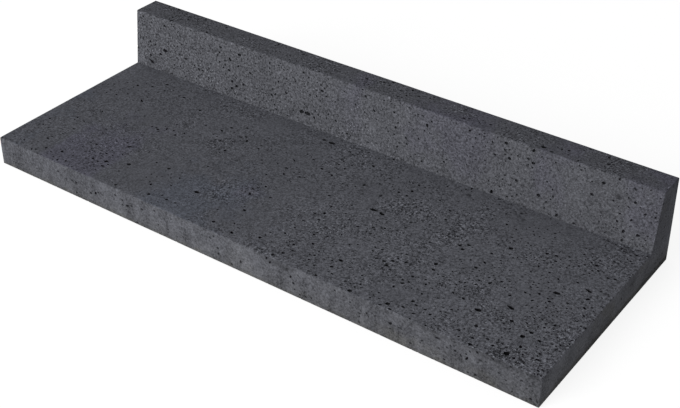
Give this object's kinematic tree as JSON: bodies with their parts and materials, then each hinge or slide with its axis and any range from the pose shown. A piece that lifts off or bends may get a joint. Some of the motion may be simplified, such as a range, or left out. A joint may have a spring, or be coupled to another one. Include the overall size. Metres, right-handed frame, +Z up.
{
  "type": "l-shaped retaining wall unit",
  "caption": "L-shaped cast concrete retaining wall unit: a long flat foot slab with a short upright wall along its back edge, tapering slightly towards its top.",
  "frame": {"origin": "middle of the underside of the foot, at floor level", "axes": "+X along the length of the wall, +Y from the free edge of the foot towards the back of the wall, +Z up"},
  "size_m": [1, 0.3999, 0.15],
  "materials": {
    "concrete": "matte"
  },
  "bodies": {
    "root": {"wall_unit": "concrete"}
  },
  "joints": []
}
